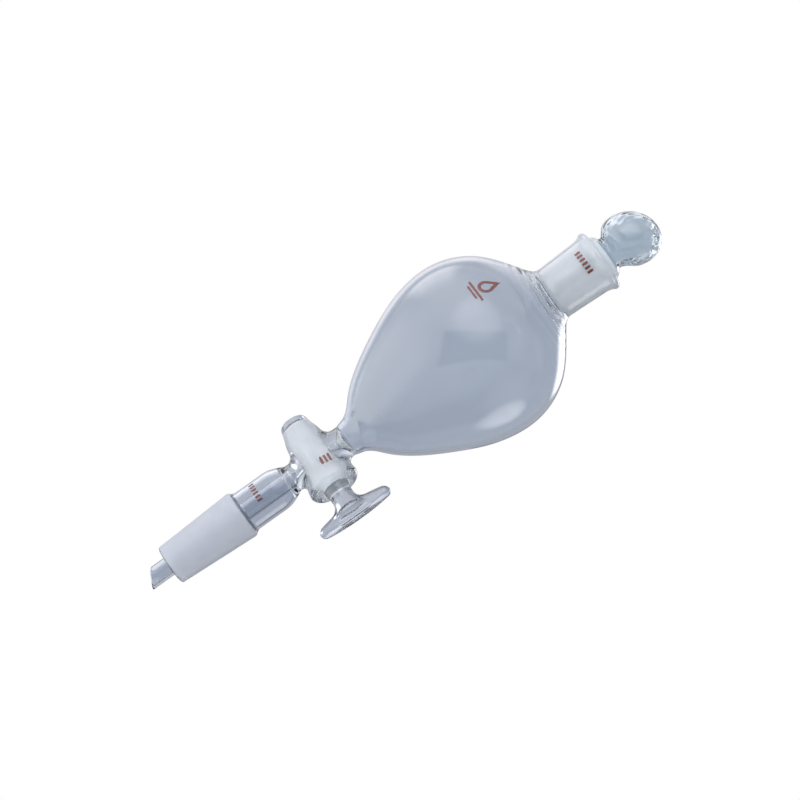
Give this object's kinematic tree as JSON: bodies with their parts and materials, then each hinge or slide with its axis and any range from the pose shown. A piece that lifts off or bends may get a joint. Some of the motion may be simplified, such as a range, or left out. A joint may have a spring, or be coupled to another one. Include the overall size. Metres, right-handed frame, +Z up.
{
  "type": "separatory funnel",
  "caption": "Pear-shaped glass separatory funnel with a ground neck and hollow stopper, an all-glass stopcock with a bar handle, and a ground outlet cone round a drip tube.",
  "frame": {"origin": "centre of the outlet cone's gauge plane, the circle where the ground 24/40 cone is 24 mm across, at the top of its ground zone", "axes": "+Z up the funnel's axis from the drip tip to the stopper; +X along the stopcock key from its narrow end to its handle; the printed marks face -Y"},
  "size_m": [0.0888, 0.0888, 0.292],
  "materials": {
    "clear_glass": "fire-polished clear borosilicate glass",
    "ground_glass": "finely ground, matt and translucent",
    "enamel": "fired red-brown enamel print"
  },
  "bodies": {
    "funnel": {"bulb_cone": "clear_glass", "bulb_belly": "clear_glass", "bulb_shoulder": "clear_glass", "neck_socket": "ground_glass", "upper_arm": "clear_glass", "stopcock_barrel": "ground_glass", "lower_arm": "clear_glass", "vapour_jacket": "clear_glass", "outlet_cone": "ground_glass", "drip_tube": "clear_glass", "bulb_emblem": "enamel", "socket_mark": "enamel", "jacket_mark": "enamel", "barrel_mark": "enamel"},
    "key": {"key_plug": "ground_glass", "key_stem": "clear_glass", "key_handle": "clear_glass"},
    "stopper": {"stopper_plug": "ground_glass", "stopper_head": "clear_glass"}
  },
  "joints": [
    {"name": "key_turn", "type": "hinge", "parent": "funnel", "child": "key", "pos_m": [0, 0, 0.0441], "axis": [1, 0, 0], "continuous": true},
    {"name": "stopper_lift", "type": "slide", "parent": "funnel", "child": "stopper", "axis": [0, 0, 1], "range_m": [0, 0.05]}
  ]
}
